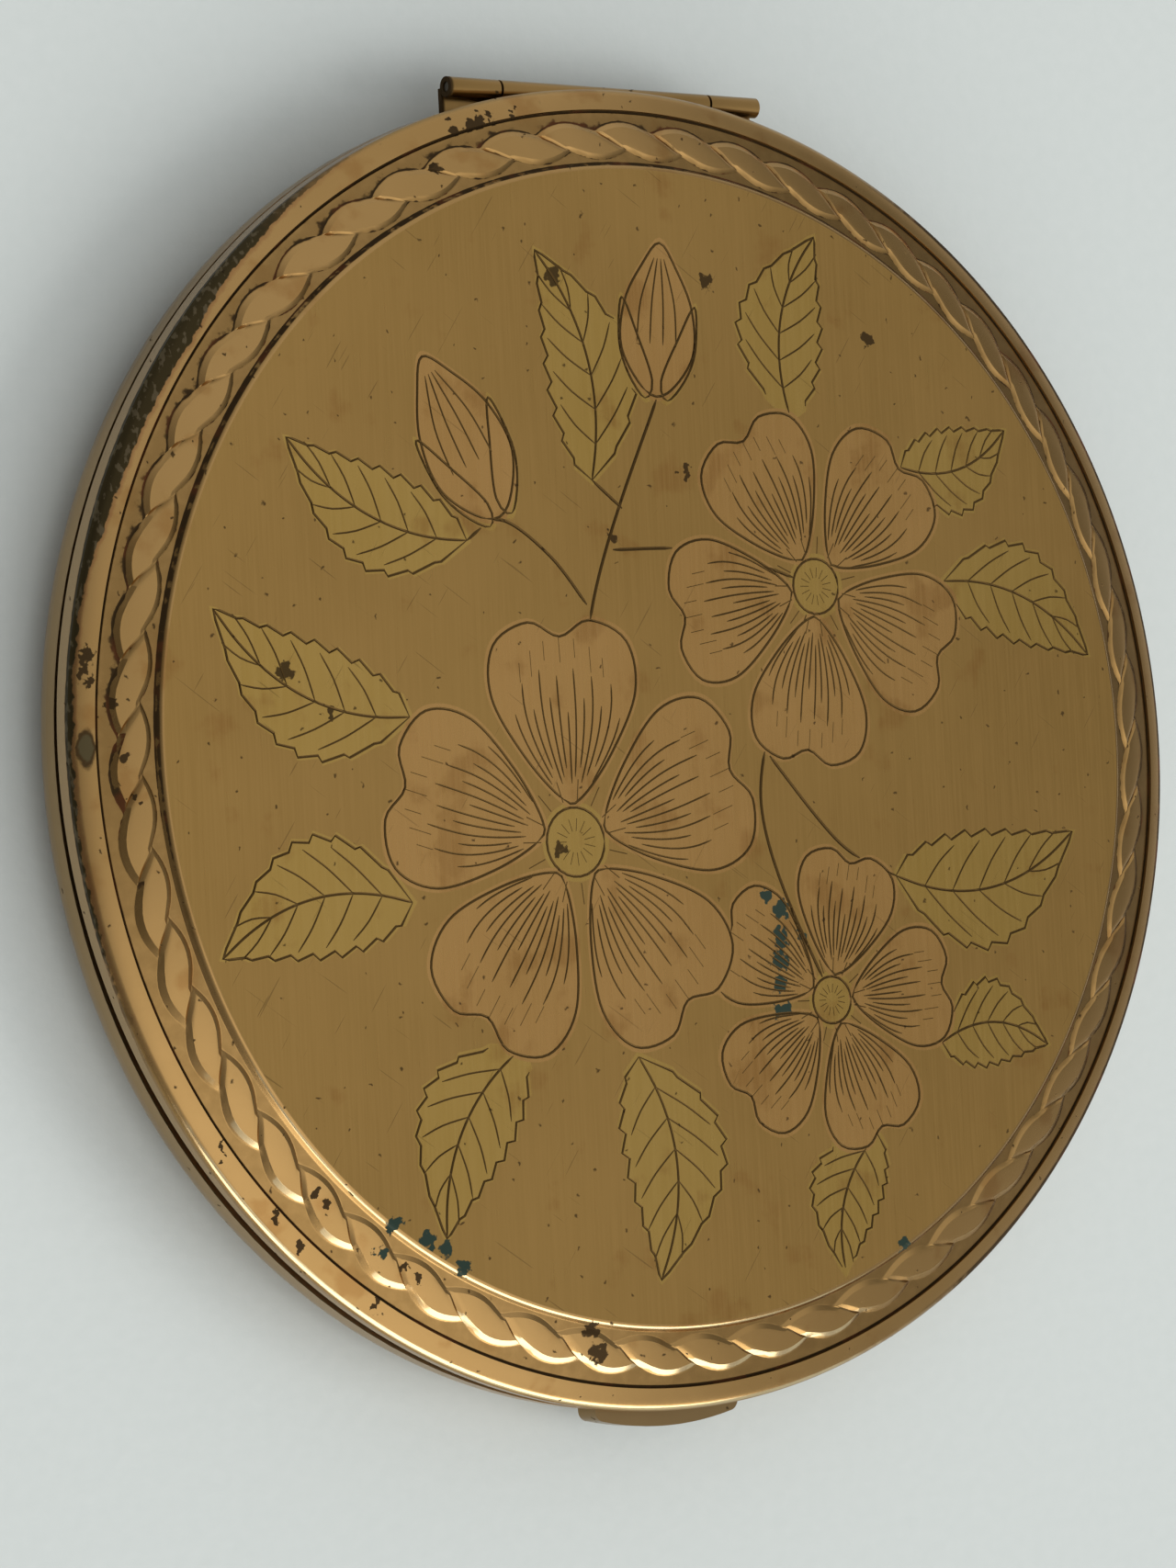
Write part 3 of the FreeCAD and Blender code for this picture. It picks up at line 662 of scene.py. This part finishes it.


# Places across the band along one line of the rope, with the height at each and its soiling and painted
# shade, or below 0 its painted highlight
def lobeProfile(t):
    footIn, topIn = lobeEdges(t, -1)
    footOut, topOut = lobeEdges(t, 1)
    if topIn > topOut:
        topIn = topOut = (topIn + topOut) / 2
    start = (bandInner + lid["bandStart"] - ropeRadius) / lid["ropeHalf"]
    end = (rimRoot - lid["grooveHalf"] - lid["grooveRoom"] - ropeRadius) / lid["ropeHalf"]
    line = lid["footLine"] / lid["ropeHalf"]
    crest = max(topIn, topOut - lid["topEdge"] / lid["ropeHalf"])
    marks = (start, max(footIn - line, start), footIn, topIn, crest, topOut, footOut,
             min(footOut + line, end), end)
    profile = []
    for run, steps in enumerate(lid["ropeSteps"]):
        for k in range(steps):
            part = k / steps
            v = marks[run] + (marks[run + 1] - marks[run]) * part
            share = lobeShare(t, v)
            dirtShadeHighlight = lid["ropeDirtAndShade"][run] * (1 - part) + lid["ropeDirtAndShade"][run + 1] * part
            # A lobe's outer flank takes a painted highlight (below 0). Where its top falls into a groove it
            # gets painted shade, except a painted highlight on the clockwise outer part.
            if run == lid["flank"]:
                dirtShadeHighlight = -1.0 if t > -0.2 else -2.0
            if run in (lid["top"], lid["crest"]):
                isFlank = t < 0 and v > 0.2 and sideShare(t, v) < 0.95
                dirtShadeHighlight = -2.0 if isFlank else max(dirtShadeHighlight, 1.25 * (1 - sideShare(t, v)))
            if run == lid["top"]:
                swell = 4 * part * (1 - part) * (1 - 4 * t * t)
                share += lid["crown"] / lid["ropeHeight"] * swell
            profile.append((v, share, dirtShadeHighlight, run))
    return profile + [(end, 0.0, lid["ropeDirtAndShade"][-1], len(lid["ropeSteps"]))]


points = []
hollows = []
rowMaterials = []
lobeColumns = [lobe + share for lobe in range(lid["lobes"]) for share in lid["lobeShares"]]
columnCount = len(lobeColumns)
lobeProfiles = [lobeProfile(share) for share in lid["lobeShares"]]


def columnAngle(column, v):
    return pi / 2 + radians(lid["lobeTurn"]) + (column + lean(v)) * lobePitch


def fromHinge(angle):
    return (angle - pi / 2 + pi) % fullTurn - pi


notchTurn = asin(notchHalf / caseRadius)
inNotch = [abs(fromHinge(columnAngle(column, 1))) < notchTurn for column in lobeColumns]
notchSides = [i for i in range(columnCount)
              if inNotch[i] != inNotch[i - 1] or inNotch[i] != inNotch[(i + 1) % columnCount]]


def addPoint(radius, angle, level, dirtShadeHighlight):
    points.append(Vector((radius * cos(angle), radius * sin(angle), level)))
    hollows.append(dirtShadeHighlight)


# A ring of the lid, inside the rope (side -1) or outside it (side 1)
def addRing(radius, height, material, dirtShadeHighlight=0.0, side=1, more=None):
    rowMaterials.append(lidMaterials.index(material))
    for i, column in enumerate(lobeColumns):
        angle = columnAngle(column, side)
        level = height
        if height < lidBottomZ + lid["liftBelow"]:
            towards = (1 - sin(angle + lid["liftTurn"])) / 2
            level += lid["frontLift"] * towards ** lid["liftPower"]
        if side > 0 and height < notchZ and radius > notchHalf:
            if inNotch[i]:
                level = notchZ
            if i in notchSides:
                angle = pi / 2 + copysign(asin(notchHalf / radius), fromHinge(angle))
        left = dirtShadeHighlightLeft(dirtShadeHighlight, angle, more) if side < 0 or dirtShadeHighlight < 0 or more else dirtShadeHighlight
        addPoint(radius, angle, level, left)


# The soiling and painted shade that a place keeps, less at the front left, where the light falls. Values
# below 0 are painted highlights on edges, shown only there.
# More soiling and painted shade can lie round one direction.
def dirtShadeHighlightLeft(dirtShadeHighlight, angle, more=None):
    heading = degrees(angle) % 360
    if dirtShadeHighlight < 0:
        start = lid["highlightEdge"] if dirtShadeHighlight > -2 else lid["highlightFlank"]
        kept = -eased01(heading, *start) * (1 - eased01(heading, *lid["highlightEnd"]))
    else:
        front = -sin(angle + lid["frontLitTurn"])
        kept = dirtShadeHighlight * (1 - lid["frontLit"] * eased01(front, *lid["frontLitEnds"]))
    if more:
        amount, direction, low, high = more
        share = eased01(cos(angle - direction), low, high)
        kept = max(kept, amount * share if share > 0.05 else -1.0)
    return kept


def eased01(value, low, high):
    t = min(max((value - low) / (high - low), 0.0), 1.0)
    return t * t * (3 - 2 * t)


def addRopeRow(row):
    rowMaterials.append(lidMaterials.index(ropeGilt))
    for i, column in enumerate(lobeColumns):
        v, share, dirtShadeHighlight, run = lobeProfiles[i % len(lobeProfiles)][row]
        angle = columnAngle(column, v)
        radius = ropeRadius + lid["ropeHalf"] * v
        level = bandZ(radius) + lid["ropeHeight"] * share
        left = dirtShadeHighlightLeft(dirtShadeHighlight, angle, lid["backDirtAndShade"] if run == lid["outside"] else None)
        if run in (lid["flank"], lid["foot"]):
            amount = lid["crust"] + lid["crustChange"] * sin(lid["crustStep"] * round(column))
            crust = eased01(-cos(angle), *lid["crustEnds"]) * amount
            left = max(left, crust) if crust > 0.1 else left
        if run in lid["band"]:
            left = max(left, lid["bandDirt"])
        addPoint(radius, angle, level, left)


# The lid from the edge of its field, over the rope and the rim, and back underneath
rimEnd = caseRadius - lid["rimEnd"]
groove = lid["grooveHalf"]
underZ = fieldZ - lid["sheet"]
reach, level = fieldRadius - lid["fieldInset"], fieldZ
addRing(reach, level, ropeGilt, 0.0, -1)
for run, fall in lid["shoulderRound"]:
    reach += run
    level -= fall
    # The shoulder's steep rings get a painted highlight at the front left and soiling with painted shade at
    # the back left
    isEdge = fall > 0.05 and run > 0.07
    more = lid["shoulderDirtAndShade"] if fall > 0.06 else None
    addRing(reach, level, ropeGilt, -1.0 if isEdge else 0.0, -1, more)
for run, rise, dirtShadeHighlight in lid["hollowRings"]:
    addRing(bandInner + run, bandTopZ + rise, ropeGilt, dirtShadeHighlight, -1)
for row in range(len(lobeProfiles[0])):
    addRopeRow(row)
for run, rise, dirtShadeHighlight in lid["grooveRings"]:
    addRing(rimRoot + run, bandLowZ + rise, rimGilt, dirtShadeHighlight)
rimSlope = lid["rimDrop"] / (lid["rimWidth"] - groove - lid["rimInset"])
for step in range(lid["rimSteps"] + 1):
    t = step / lid["rimSteps"]
    swell = lid["rimBulge"] * 4 * t * (1 - t)
    reach = rimRoot + groove + (rimEnd - rimRoot - groove) * t
    level = rimTopZ - rimSlope * (reach - rimRoot - groove)
    # The rim's outer rings get soiling with painted shade on the right, and its rounded corner a painted
    # highlight at the front left
    more = lid["cornerDirtAndShade"] if step == lid["rimSteps"] else None
    addRing(reach + swell * 0.35, level + swell * 0.93, rimGilt, more=more)
for run, fall in lid["rimRound"]:
    reach += run
    level -= fall
    addRing(reach, level, rimGilt, -1.0 if run > 0.07 else 0.0, more=lid["cornerDirtAndShade"])
addRing(caseRadius, rimEdgeZ - lid["rimCornerDrop"], rimGilt, more=lid["cornerDirtAndShade"])
outerRings = (
    (caseRadius, notchZ + lid["wallRing"]), (caseRadius, lidBottomZ + lid["wallRing"]),
    (caseRadius - lid["edgeRound"], lidBottomZ), (wallInner + lid["innerRound"], lidBottomZ),
)
innerRings = (
    (wallInner, lidBottomZ + lid["innerRound"]), (wallInner, notchZ + lid["wallRing"]),
    (wallInner, rimEdgeZ - lid["sheet"]), (rimRoot, bandLowZ - lid["sheet"]),
    (bandInner - lid["shoulderWall"], bandTopZ - lid["sheet"]),
    (fieldRadius - lid["shoulderWall"], underZ), (fieldRadius / 2, underZ),
)
for material, rings in ((rimGilt, outerRings), (innerGilt, innerRings)):
    for radius, height in rings:
        addRing(radius, height, material)

faces = []
faceMaterials = []
for row, material in enumerate(rowMaterials[1:]):
    for i in range(columnCount):
        j = (i + 1) % columnCount
        a, b = row * columnCount, (row + 1) * columnCount
        faces.append((a + i, b + i, b + j, a + j))
        faceMaterials.append(material)
middle = len(points)
addPoint(0, 0, underZ, 0.0)
lastRow = (len(rowMaterials) - 1) * columnCount
for i in range(columnCount):
    faces.append((lastRow + i, middle, lastRow + (i + 1) % columnCount))
    faceMaterials.append(lidMaterials.index(innerGilt))

# The field: one flat sheet, cut into the strokes, the tinted grounds and the plain brass between
flatPoints = [p.xy for p in points[:columnCount]]
rimLoop = [(i, (i + 1) % columnCount) for i in range(columnCount)]
flatFaces = []
flatKinds = []
cutDepth = {}
samples = []


# A face of the flat sheet, its corners put anticlockwise
def addFlat(kind, *corners):
    turn = sum(flatPoints[corners[k - 1]].cross(flatPoints[corner]) for k, corner in enumerate(corners))
    if abs(turn) > 1e-6:
        flatFaces.append(corners if turn > 0 else corners[::-1])
        flatKinds.append(kind)


for run, width in strokes:
    length = sum((q - p).length for p, q in zip(run, run[1:]))
    gone = 0.0
    before = None
    for k, point in enumerate(run):
        ahead = (run[min(k + 1, len(run) - 1)] - run[max(k - 1, 0)]).normalized()
        gone += (point - run[k - 1]).length if k else 0.0
        taper = min(1.0, spray["endWidth"] + min(gone, length - gone) / spray["widening"])
        half = width / 2 * taper
        aside = Vector((-ahead.y, ahead.x)) * half
        here = len(flatPoints)
        flatPoints += [point + aside, point, point - aside]
        isEnd = k in (0, len(run) - 1)
        cutDepth[here + 1] = 0.0 if isEnd else spray["depth"] * taper * width / spray["outline"]
        samples.append((point, half, cutDepth[here + 1]))
        if before is not None:
            for side in (0, 1):
                addFlat("line", before + side, before + side + 1, here + side + 1)
                addFlat("line", before + side, here + side + 1, here + side)
        before = here
for rank, (polygon, tint) in enumerate(areas):
    here = len(flatPoints)
    flatPoints += polygon
    addFlat((rank, tint), *range(here, here + len(polygon)))
cut = delaunay_2d_cdt(flatPoints, rimLoop, flatFaces, 1, 1e-5)
cutPoints, cutFaces, pointSources, faceSources = cut[0], cut[2], cut[3], cut[5]

nearStroke = KDTree(len(samples))
for k, sample in enumerate(samples):
    nearStroke.insert((*sample[0], 0.0), k)
nearStroke.balance()
placed = []
for point, sources in zip(cutPoints, pointSources):
    rimSource = [s for s in sources if s < columnCount]
    if rimSource:
        placed.append(rimSource[0])
        continue
    depth = max((cutDepth.get(s, 0.0) for s in sources), default=0.0)
    if not sources:
        _, nearest, away = nearStroke.find((*point, 0.0))
        _, half, full = samples[nearest]
        depth = full * max(0.0, 1 - away / half)
    placed.append(len(points))
    points.append(Vector((point.x, point.y, fieldZ - depth)))
    hollows.append(0.0)
tintMaterials = {"rose": lidMaterials.index(roseGilt), "green": lidMaterials.index(greenGilt)}
for face, sources in zip(cutFaces, faceSources):
    kinds = [flatKinds[s] for s in sources if s < len(flatKinds)]
    tints = sorted(kind for kind in kinds if kind != "line")
    if "line" in kinds:
        material = lidMaterials.index(engravedLine)
    elif tints:
        material = tintMaterials[tints[0][1]]
    else:
        material = lidMaterials.index(fieldBrass)
    faces.append(tuple(placed[i] for i in face))
    faceMaterials.append(material)


# Faces between rings of points, each ring joined to the next
def ringFaces(rings, count):
    pairs = [(i, (i + 1) % count) for i in range(count)]
    return [(a + i, a + j, a + count + j, a + count + i)
            for a in range(0, (rings - 1) * count, count) for i, j in pairs]


def addObject(name, data):
    made = bpy.data.objects.new(name, data)
    bpy.context.scene.collection.objects.link(made)
    return made


# A mesh object from points in millimetres
def addPiece(name, vertices, polygons, materials, body):
    mesh = bpy.data.meshes.new(name)
    mesh.from_pydata([p * mm for p in vertices], [], polygons)
    for material in materials:
        mesh.materials.append(material)
    piece = addObject(name, mesh)
    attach(piece, body)
    return piece


lidPiece = addPiece("lid_dressed", points, faces, lidMaterials, "lid")
mesh = lidPiece.data
mesh.polygons.foreach_set("material_index", faceMaterials)
mesh.attributes.new("hollow", "FLOAT", "POINT").data.foreach_set("value", hollows)
tidy = bmesh.new()
tidy.from_mesh(mesh)
bmesh.ops.dissolve_degenerate(tidy, dist=1e-7, edges=tidy.edges)
bmesh.ops.recalc_face_normals(tidy, faces=tidy.faces)
tidy.to_mesh(mesh)
tidy.free()
mesh.set_sharp_from_angle(angle=radians(lid["sharp"]))
flatKind = lidMaterials.index(engravedLine)       # the field's faces stay flat, the rest is smooth
mesh.polygons.foreach_set("use_smooth", [face.material_index > flatKind for face in mesh.polygons])
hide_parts("lid_shell")
print("  lid faces:", len(mesh.polygons))


print("stage: inside")


# Two tones that a grain blends
def plainFinish(name, look):
    material, place = newMaterial(name)
    grain = cloud(scaled(place, look["grain"]), 1.0, look.get("detail", 4.0))
    finishMaterial(place, {
        "Base Color": blended(grain, look["colour"], look["tone"]),
        "Metallic": look.get("metallic", 0.0), "Sheen Weight": look.get("sheen", 0.0),
        "Roughness": look["roughness"] + (grain - 0.5) * look.get("uneven", 0.2),
        "Normal": bumped(grain, *look.get("bump", (0.4, 0.02)))})
    return material


puffLow, puffHigh = (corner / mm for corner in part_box("powder_puff"))
puff = {
    "columns": 128, "edge": 0.8, "crownShare": 0.4, "crown": 0.35, "dimple": 0.05,
    # Rings underneath and on top, as shares of the flat radius, and steps round the edge
    "under": (0.25, 0.6, 0.9, 0.98), "edgeSteps": 8,
    "upper": (0.99, 0.95, 0.88, 0.78, 0.66, 0.54, 0.42, 0.3, 0.18, 0.08),
}


def velour():
    look = {"colour": (0.72, 0.47, 0.36), "pile": (0.82, 0.6, 0.49), "roughness": 0.95}
    material, place = newMaterial("puff_velour")
    strand = cloud(place, 5200.0, 3.0)
    brushed = eased(cloud(place, 90.0, 3.0), 0.35, 0.65)
    finishMaterial(place, {
        "Base Color": blended(strand * 0.6 + brushed * 0.4, look["colour"], look["pile"]),
        "Roughness": look["roughness"], "Sheen Weight": 0.6, "Sheen Roughness": 0.4,
        "Normal": bumped(strand, 0.8, 0.12)})
    return material


# How far the puff's crown has fallen, at a share of its flat radius
def crownDrop(share):
    return puff["crown"] * max(share - puff["crownShare"], 0) / (1 - puff["crownShare"])


def addPuff():
    count = puff["columns"]
    low, edgeZ = puffLow.z, puffHigh.z - puff["crown"]
    flat = puffHigh.x - puff["edge"]
    profile = [(flat * share, low + 0.03) for share in puff["under"]]
    for k in range(1, puff["edgeSteps"]):
        turn = pi * k / puff["edgeSteps"]
        profile.append((flat + puff["edge"] * 0.9 * sin(turn),
                        (low + edgeZ) / 2 - (edgeZ - low) / 2 * 0.94 * cos(turn)))
    for share in puff["upper"]:
        profile.append((flat * share, edgeZ + puff["crown"] - crownDrop(share) - 0.06))
    vertices = []
    for reach, level in profile:
        for i in range(count):
            turn = fullTurn * i / count
            x, y = reach * cos(turn), reach * sin(turn)
            soft = noise.noise(Vector((x, y, level)) * 0.22)
            sag = puff["dimple"] * soft * (level > (low + edgeZ) / 2)
            vertices.append(Vector((x, y, level + sag)))
    polygons = ringFaces(len(profile), count)
    for row, flipped in ((0, True), (len(profile) - 1, False)):
        centre = len(vertices)
        vertices.append(Vector((0, 0, profile[row][1])))
        for i in range(count):
            pair = (row * count + i, row * count + (i + 1) % count)
            polygons.append((*(reversed(pair) if flipped else pair), centre))
    piece = addPiece("puff_pad", vertices, polygons, [velour()], "base")
    piece.data.shade_smooth()
    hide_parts("powder_puff")


addPuff()

ribbonLow, ribbonHigh = (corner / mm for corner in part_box("puff_ribbon"))
ribbon = {"across": 12, "along": 60, "thickness": 0.1, "wave": 0.03, "sharp": 40}
satinLook = {
    "colour": (0.74, 0.38, 0.31), "tone": (0.86, 0.55, 0.47), "roughness": 0.415, "uneven": 0.15,
    "sheen": 0.3, "grain": (9000.0, 260.0, 400.0), "detail": 3.0, "bump": (0.4, 0.03),
}


def addRibbon():
    across, along = ribbon["across"], ribbon["along"]
    width = ribbonHigh.x - ribbonLow.x
    reach = ribbonHigh.y
    flat = puffHigh.x - puff["edge"]
    vertices, polygons = [], []
    for layer in (0.0, ribbon["thickness"]):
        for k in range(along + 1):
            y = reach * (2 * k / along - 1)
            drop = crownDrop(abs(y) / flat)
            for i in range(across + 1):
                x = width * (i / across - 0.5)
                wave = ribbon["wave"] * (1 + sin(x * 1.1 + y * 0.16) * cos(y * 0.21)) / 2
                vertices.append(Vector((x, y, puffHigh.z + 0.02 - drop + layer + wave)))
    step = across + 1
    top = step * (along + 1)
    for k in range(along):
        for i in range(across):
            a = k * step + i
            polygons.append((a, a + step, a + step + 1, a + 1))
            polygons.append((top + a, top + a + 1, top + a + step + 1, top + a + step))
    border = list(range(across)) + [k * step + across for k in range(along)]
    border += [along * step + across - k for k in range(across)]
    border += [(along - k) * step for k in range(along)]
    for k, a in enumerate(border):
        b = border[(k + 1) % len(border)]
        polygons.append((a, b, top + b, top + a))
    material = plainFinish("ribbon_satin", satinLook)
    piece = addPiece("puff_band", vertices, polygons, [material], "base")
    piece.data.shade_smooth()
    piece.data.set_sharp_from_angle(angle=radians(ribbon["sharp"]))
    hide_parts("puff_ribbon")


addRibbon()


def mirrorSilver():
    look = {"silver": (0.86, 0.88, 0.88), "dust": (0.6, 0.58, 0.55), "roughness": 0.03}
    material, place = newMaterial("mirror_silver")
    dust = eased(cloud(place, 700.0, 5.0), 0.62, 0.78)
    finishMaterial(place, {
        "Base Color": blended(dust * 0.25, look["silver"], look["dust"]),
        "Metallic": 1.0, "Roughness": look["roughness"] + dust * 0.14})
    return material


springLow, springHigh = (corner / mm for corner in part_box("catch_spring"))
spring = {"sheet": 0.25, "steps": 24, "keep": 0.7}


# The leaf spring behind the press piece, in its resting bow; the real one flattens when the piece is pressed
def addSpring(material):
    rise = springHigh.y - springLow.y
    bow = (springHigh.x ** 2 + rise ** 2) / (2 * rise)
    steps = spring["steps"]
    low, high = springLow.z, springHigh.z
    vertices = []
    for k in range(steps + 1):
        for radius, heights in ((bow, (low, high)), (bow - spring["sheet"], (high, low))):
            turn = acos((bow - rise) / radius) * (2 * k / steps - 1)
            y = springLow.y + bow - radius * cos(turn)
            vertices += [Vector((radius * sin(turn), y, z)) for z in heights]
    polygons = ringFaces(steps + 1, 4) + [(3, 2, 1, 0), tuple(range(4 * steps, 4 * steps + 4))]
    piece = addPiece("spring_leaf", vertices, polygons, [material], "base")
    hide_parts("catch_spring")
    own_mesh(piece)


nodeFinishes = {
    "pin_steel": {"colour": (0.07, 0.06, 0.045), "tone": (0.12, 0.1, 0.08), "metallic": 1.0,
                  "roughness": 0.35, "grain": (300.0, 4000.0, 4000.0)},
    "spring_steel": {"colour": (0.26, 0.27, 0.3), "tone": (0.4, 0.39, 0.37), "metallic": 1.0,
                     "roughness": 0.32, "grain": (300.0, 3000.0, 3000.0)},
    "backing_card": {"colour": (0.12, 0.09, 0.062), "tone": (0.17, 0.13, 0.09),
                     "roughness": 0.9, "grain": (2200.0, 2200.0, 2200.0)},
    "gauze_brass": {"colour": (0.55, 0.38, 0.15), "tone": (0.66, 0.48, 0.22), "metallic": 1.0,
                    "roughness": 0.4, "grain": (6000.0, 6000.0, 6000.0)},
}
madeFinishes = {name: plainFinish(name, look) for name, look in nodeFinishes.items()}
nodeMaterials = {
    "base_shell": baseGilt, "base_hinge_leaf": hingeGilt, "lid_hinge_leaf": hingeGilt,
    "catch_tab": catchGilt, "catch_tongue": innerGilt, "catch_keeper": innerGilt,
    "catch_straps": innerGilt, "base_collar": innerGilt, "sifter_ring": innerGilt,
    "mirror_bezel": innerGilt, "mirror_glass": mirrorSilver(), "hinge_pin": madeFinishes["pin_steel"],
    "mirror_backing": madeFinishes["backing_card"], "sifter_net": madeFinishes["gauze_brass"],
}
addSpring(madeFinishes["spring_steel"])
for name, material in nodeMaterials.items():
    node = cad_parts[name]
    node.data.materials.clear()
    node.data.materials.append(material)


print("stage: studio")

floorLook = {
    "colour": (0.55, 0.588, 0.573), "tone": (0.583, 0.616, 0.602), "roughness": 0.75, "uneven": 0.0,
    "grain": (900.0, 900.0, 900.0), "bump": (0.25, 0.1), "size": 8.0,
}


def addFloor():
    half = floorLook["size"] / 2
    mesh = bpy.data.meshes.new("floor")
    corners = [(-half, -half, 0), (half, -half, 0), (half, half, 0), (-half, half, 0)]
    mesh.from_pydata(corners, [], [(0, 1, 2, 3)])
    floor = addObject("floor", mesh)
    mesh.materials.append(plainFinish("pale_table", floorLook))


addFloor()

lamps = {
    "window": {"place": (0.07, -3.04, 0.96), "size": (4.9, 1.28), "power": 54.0,
               "colour": (1.0, 0.99, 0.97), "mirrored": True},
    # Lights the table and isn't mirrored in the metal
    "side": {"place": (2.75, -1.125, 2.125), "size": (2.0, 2.0), "power": 65.6,
             "colour": (1.0, 1.0, 0.99), "mirrored": False},
}
for name, look in lamps.items():
    lamp = bpy.data.lights.new(name, "AREA")
    lamp.shape = "RECTANGLE"
    lamp.size, lamp.size_y = look["size"]
    lamp.energy = look["power"]
    lamp.color = look["colour"]
    holder = addObject(name, lamp)
    holder.visible_glossy = look["mirrored"]
    holder.location = look["place"]
    holder.rotation_euler = (-Vector(look["place"])).to_track_quat("-Z", "Y").to_euler()

# The room: an even ceiling with one brighter part, and dim sides
roomLook = {
    "ceiling": (0.84, 0.85, 0.85), "bright": (1.56, 1.56, 1.54), "right": (0.3, 0.31, 0.31),
    "low": (0.53, 0.54, 0.54), "left": (0.26, 0.26, 0.26), "brightTowards": (0.05, -0.55, 0.83),
    # Where each part begins and is full, along Z, Y, X, X and the bright direction
    "lowEnds": (0.33, 0.2), "frontEnds": (0.0, -0.32), "ceilingEnds": (0.78, 0.42),
    "leftEnds": (-0.78, 0.0), "brightEnds": (0.84, 0.98),
}
world = bpy.data.worlds.new("studio")
towards = firstWire(world, "Generated")
across, ahead, upwards = (component(towards, axis) for axis in "XYZ")
facing = vectorMaths("DOT_PRODUCT", towards, Vector(roomLook["brightTowards"]).normalized(), "Value")
walls = blended(eased(upwards, *roomLook["lowEnds"]), roomLook["right"], roomLook["low"])
walls = blended(eased(ahead, *roomLook["frontEnds"]), walls, roomLook["low"])
walls = blended(eased(across, *roomLook["ceilingEnds"]), walls, roomLook["ceiling"])
walls = blended(eased(across, *roomLook["leftEnds"]), roomLook["left"], walls)
walls = blended(eased(facing, *roomLook["brightEnds"]), walls, roomLook["bright"])
background = towards.node("Background", {}, {"Color": walls})
towards.node("OutputWorld", {}, {"Surface": background})
bpy.context.scene.world = world

cameraLook = {
    "place": (-0.22888, -0.024096, 0.334165), "turn": (5.05616, -34.09928, -3.5),
    "lens": 126.54, "sensor": 36.0,
}
camera = addObject("camera", bpy.data.cameras.new("camera"))
camera.location = cameraLook["place"]
camera.rotation_euler = Euler([radians(a) for a in cameraLook["turn"]])
camera.data.lens = cameraLook["lens"]
camera.data.sensor_width = cameraLook["sensor"]
bpy.context.scene.camera = camera
bpy.context.scene.view_settings.view_transform = "Standard"
